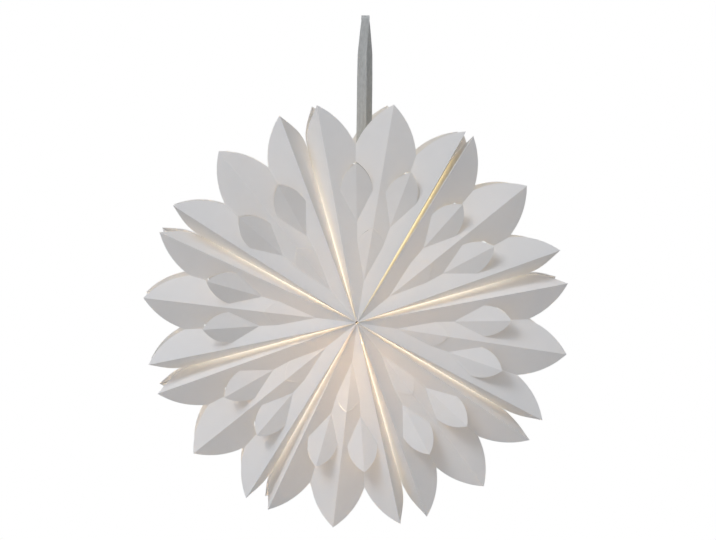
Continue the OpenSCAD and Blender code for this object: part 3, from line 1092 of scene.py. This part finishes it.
@dataclass
class Studio:
    """A pale floor and backdrop, soft light from the upper left, and the camera, in metres and watts."""

    aim: tuple[float, float, float] = (-0.0104, -0.075, -0.2635)
    distance: float = 4.007
    azimuth: float = -2.0
    elevation: float = 2.0
    lens_mm: float = 196.0
    sensor_mm: float = 36.0
    view_end: float = 50.0
    floor_z: float = -0.9
    floor_half: float = 8.0
    wall_y: float = 5.5
    wall_top: float = 4.0
    paint: str = "#cccccc"
    room: str = "#f3f8ff"
    ambient: float = 0.455
    key: float = 61.0
    key_colour: str = "#f5f9ff"
    key_place: tuple[float, float, float] = (-1.9, -1.9, 2.2)
    key_size: float = 1.6

    @staticmethod
    def seen_white(tree: NodeTree, shader: NodeSocket, white: Node) -> NodeSocket:
        """Show the background as plain white to the camera, in gloss and through glass.

        Args:
            tree: The nodes of the world or of a material.
            shader: What lights the star.
            white: The node that shines white.

        Returns:
            The shader that does both.
        """
        path = wire(tree, "ShaderNodeLightPath").outputs
        seen = maths(tree, "MAXIMUM", path["Is Camera Ray"], path["Is Glossy Ray"])
        seen = maths(tree, "MAXIMUM", seen, path["Is Transmission Ray"])
        white.inputs["Color"].default_value = (1.0, 1.0, 1.0, 1.0)
        white.inputs["Strength"].default_value = 1.0
        return wire(tree, "ShaderNodeMixShader", {0: seen, 1: shader, 2: white.outputs[0]}).outputs[0]

    def add_world(self) -> None:
        """Fill the room with soft light, and show it white."""
        world = bpy.data.worlds.new("soft_room")
        world.use_nodes = True
        tree = world.node_tree
        tree.nodes.clear()
        soft = wire(tree, "ShaderNodeBackground", {"Color": linear(self.room), "Strength": self.ambient})
        both = self.seen_white(tree, soft.outputs[0], wire(tree, "ShaderNodeBackground"))
        wire(tree, "ShaderNodeOutputWorld", {"Surface": both})
        bpy.context.scene.world = world

    def backdrop_material(self) -> Material:
        """Pale matt paint that the camera sees as plain white."""
        material, tree = new_material("pale_matt_paint")
        paint = wire(tree, "ShaderNodeBsdfDiffuse", {"Color": linear(self.paint)})
        both = self.seen_white(tree, paint.outputs[0], wire(tree, "ShaderNodeEmission"))
        return shown(material, both)

    def add_plane(self, name: str, corners: list[tuple[float, float, float]], paint: Material) -> None:
        """Add a flat backdrop from its four corners in order."""
        mesh = bpy.data.meshes.new(name)
        mesh.from_pydata(corners, [], [(0, 1, 2, 3)])
        mesh.materials.append(paint)
        obj = bpy.data.objects.new(name, mesh)
        bpy.context.scene.collection.objects.link(obj)

    def facing(self, place: Vector) -> Matrix:
        """Stand at a place and face the star."""
        way = Vector(self.aim) - place
        return Matrix.Translation(place) @ way.to_track_quat("-Z", "Y").to_matrix().to_4x4()

    def add_key(self) -> None:
        """Add the square soft light."""
        lamp = bpy.data.lights.new("key_upper_left", "AREA")
        lamp.shape = "SQUARE"
        lamp.size = self.key_size
        lamp.energy = self.key
        lamp.color = linear(self.key_colour)[:3]
        obj = bpy.data.objects.new("key_upper_left", lamp)
        obj.matrix_world = self.facing(Vector(self.key_place))
        obj.visible_camera = False
        bpy.context.scene.collection.objects.link(obj)

    def add_camera(self) -> None:
        """Stand the camera at the photograph's viewing angle, as near as it can be judged, and use it."""
        turn, tilt = math.radians(self.azimuth), math.radians(self.elevation)
        out = Vector((math.sin(turn) * math.cos(tilt), -math.cos(turn) * math.cos(tilt), math.sin(tilt)))
        lens = bpy.data.cameras.new("camera")
        lens.lens = self.lens_mm
        lens.sensor_width = self.sensor_mm
        lens.sensor_fit = "HORIZONTAL"
        lens.clip_end = self.view_end
        camera = bpy.data.objects.new("camera", lens)
        camera.matrix_world = self.facing(Vector(self.aim) + out * self.distance)
        bpy.context.scene.collection.objects.link(camera)
        bpy.context.scene.camera = camera

    def build(self) -> None:
        """Set the stage, the light and the camera."""
        paint = self.backdrop_material()
        z, y, w, top = self.floor_z, self.wall_y, self.floor_half, self.wall_top
        self.add_plane("floor", [(-w, -w, z), (w, -w, z), (w, y, z), (-w, y, z)], paint)
        self.add_plane("backdrop", [(-w, y, z), (w, y, z), (w, y, top), (-w, y, top)], paint)
        self.add_key()
        self.add_world()
        bpy.context.scene.view_settings.view_transform = "Standard"
        self.add_camera()


def main() -> None:
    """Build every piece in order, then the studio."""
    logging.basicConfig(level=logging.INFO, format="%(name)s: %(message)s")
    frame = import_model()
    sizes = StarSizes()
    paper = FoldedPaper()
    # The faces' card, then the walls' and the closing walls' card, which carry a painted glow
    card = [paper.material("uncoated_white_card"), paper.material("wall_card_painted_glow", sizes),
            paper.material("closing_wall_card_painted_glow", sizes, True)]
    order = ("upper_right", "top", "upper_left", "left", "lower_left", "bottom", "lower_right", "right")
    for index, place in enumerate(order):
        piece = PaperSleeve(sizes, index, "sleeve_" + place).build(card)
        LOG.info("%s: %d faces", piece.name, len(piece.data.polygons))
    ribbon = HangingRibbon().build(WovenRibbon().material())
    LOG.info("%s: %d faces", ribbon.name, len(ribbon.data.polygons))
    LampInside(sizes, frame["nodes"]).build()
    Studio().build()


if __name__ == "__main__":
    main()
